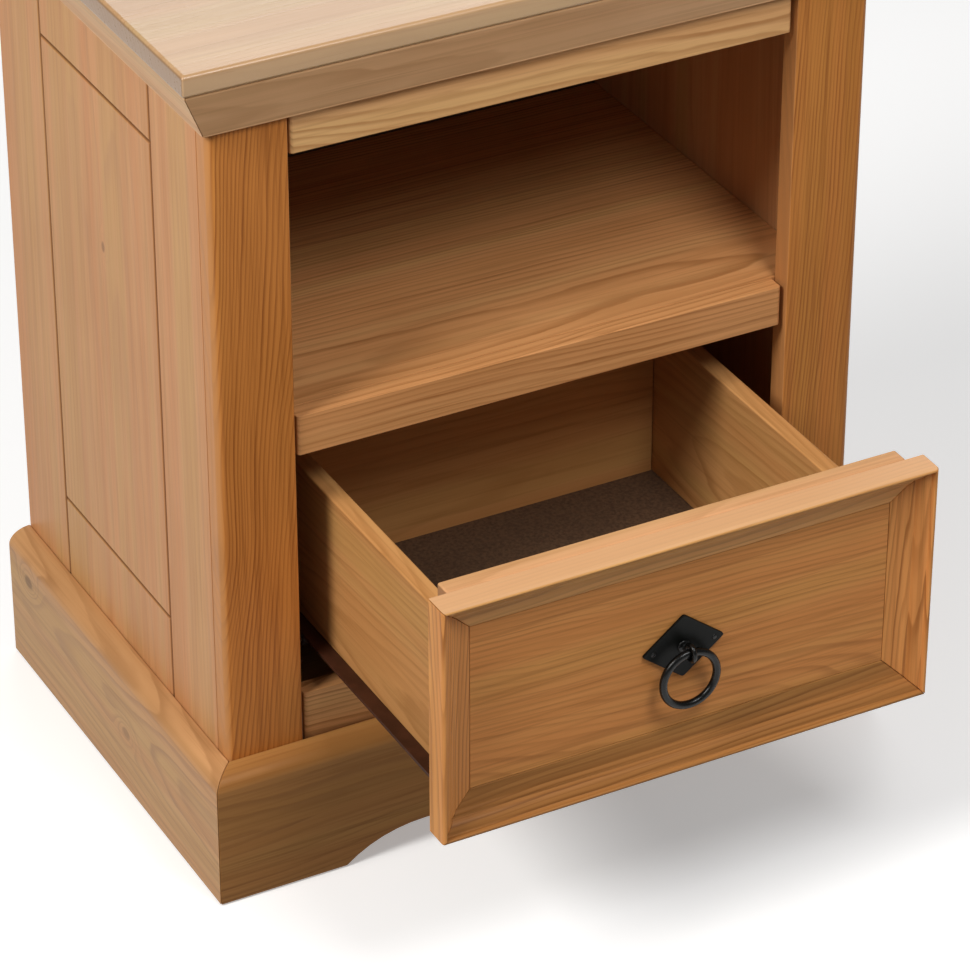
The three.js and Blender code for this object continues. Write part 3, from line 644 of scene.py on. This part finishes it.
def spun(made, profile, centre, sides=32):
    """A turned solid on an axis along -Y, from points of radius and height above its foot."""
    rings = []
    for r, height in profile:
        ring = []
        for k in range(sides):
            b = math.tau * k / sides
            offset = Vector((r * math.cos(b), -height, r * math.sin(b)))
            ring.append(made.verts.new(centre + offset))
        rings.append(ring)
    for low, high in zip(rings, rings[1:]):
        for k in range(sides):
            n = (k + 1) % sides
            made.faces.new((low[k], low[n], high[n], high[k]))
    made.faces.new(rings[0])
    made.faces.new(rings[-1])


ring_low, ring_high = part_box("handle_ring")
ring_middle = (ring_low + ring_high) / 2
wire = (ring_high.y - ring_low.y) / 2
ring_radius = (ring_high.x - ring_low.x) / 2 - wire
ACROSS, AHEAD, UP = Vector((1, 0, 0)), Vector((0, 1, 0)), Vector((0, 0, 1))

piece_from(
    "ring",
    lambda made: hoop(made, ring_middle, ring_radius, wire, (ACROSS, UP), 4),
    "ring",
    ["handle_ring"],
)

eye_low, eye_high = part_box("handle_eye")
stud_radius = (eye_high.x - eye_low.x) / 2
pivot = Vector((0, ring_middle.y, ring_middle.z + ring_radius))
eye_wire = EYE_WIRE * MM
eye_radius = pivot.y - eye_low.y - eye_wire


def eye_shape(made):
    hoop(made, pivot, eye_radius, eye_wire, (AHEAD, UP), 9, 64, 16)


piece_from("eye_loop", eye_shape, "drawer", ["handle_eye"])

plate_low, plate_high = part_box("handle_plate")
collar_foot = Vector((0, plate_low.y, pivot.z))


def collar_shape(made):
    profile = [(4.2, -0.2), (4.2, 0.5), (3.7, 1.0), (2.6, 1.3), (1.9, 1.5), (1.8, 3.6)]
    spun(made, [(r * MM, h * MM) for r, h in profile], collar_foot)


def stud_shape(made):
    length = eye_high.y - plate_high.y
    foot = Vector((0, plate_high.y, pivot.z))
    spun(made, [(stud_radius, -length), (stud_radius, 0.0)], foot, 24)


piece_from("eye_collar", collar_shape, "drawer")
piece_from("eye_stud", stud_shape, "drawer")


def tack_shape(made):
    for x in (-1, 1):
        foot = Vector((x * TACK_PLACE * MM, plate_low.y, pivot.z))
        profile = [(1.7, -0.2), (1.6, 0.15), (1.2, 0.4), (0.6, 0.52), (0.15, 0.55)]
        spun(made, [(r * MM, h * MM) for r, h in profile], foot, 20)


piece_from("plate_tacks", tack_shape, "drawer")
dress("handle_plate", plate_iron, 0.5)


# ---- studio -------------------------------------------------------------------------------------


def soft_light(name, place, target, size, power, colour=(1, 1, 1)):
    light = bpy.data.lights.new(name, "AREA")
    light.shape = "DISK"
    light.size = size
    light.energy = power
    light.color = colour
    lamp = bpy.data.objects.new(name, light)
    lamp.location = place
    lamp.rotation_mode = "QUATERNION"
    lamp.rotation_quaternion = (Vector(target) - Vector(place)).to_track_quat("-Z", "Y")
    bpy.context.scene.collection.objects.link(lamp)


FLOOR_REACH = 8  # metres each way
FLOOR_WHITE = 0.9
FLOOR_GLOW = 0.32
WORLD_STRENGTH = 0.2

floor_mesh = bpy.data.meshes.new("floor")
corners = [(x * FLOOR_REACH, y * FLOOR_REACH, -MM) for x, y in ((-1, -1), (1, -1), (1, 1), (-1, 1))]
floor_mesh.from_pydata(corners, [], [(0, 1, 2, 3)])
floor = bpy.data.objects.new("floor", floor_mesh)
bpy.context.scene.collection.objects.link(floor)
pale = Graph("floor")
pale.shader.inputs["Base Color"].default_value = (FLOOR_WHITE, FLOOR_WHITE, FLOOR_WHITE, 1)
pale.shader.inputs["Roughness"].default_value = 0.9
pale.shader.inputs["Emission Color"].default_value = (1, 1, 1, 1)
pale.shader.inputs["Emission Strength"].default_value = FLOOR_GLOW
floor.data.materials.append(pale.material)
floor.visible_diffuse = False  # the pale floor throws no light back up on the cabinet

world = bpy.data.worlds.new("studio")
bpy.context.scene.world = world
world.use_nodes = True
world.node_tree.nodes["Background"].inputs["Color"].default_value = (1, 1, 1, 1)
world.node_tree.nodes["Background"].inputs["Strength"].default_value = WORLD_STRENGTH
soft_light("key", (-2.3, -0.5, 2.4), (0, 0, 0.3), 1.3, 76, (1, 0.98, 0.95))
soft_light("front", (0.1, -0.9, 1.4), (0, -0.1, 0.3), 0.5, 8)
# Behind the cabinet, where its satin reflection in the top meets the camera.
soft_light("sheen", (1.26, 2.5, 1.8), (0, 0.08, 0.57), 1.8, 16)

CAMERA_PLACE = (-1.146, -2.131, 1.699)
CAMERA_TURN, CAMERA_TILT = math.radians(28.07), math.radians(31.91)
SENSOR_WIDTH, LENS = 36, 169.4  # mm

camera = bpy.data.objects.new("camera", bpy.data.cameras.new("camera"))
bpy.context.scene.collection.objects.link(camera)
camera.data.sensor_width = SENSOR_WIDTH
camera.data.lens = LENS
level = math.cos(CAMERA_TILT)
looking = Vector(
    (math.sin(CAMERA_TURN) * level, math.cos(CAMERA_TURN) * level, -math.sin(CAMERA_TILT))
)
camera.location = CAMERA_PLACE
camera.rotation_mode = "QUATERNION"
camera.rotation_quaternion = looking.to_track_quat("-Z", "Y")
bpy.context.scene.camera = camera
bpy.context.scene.view_settings.view_transform = "Standard"
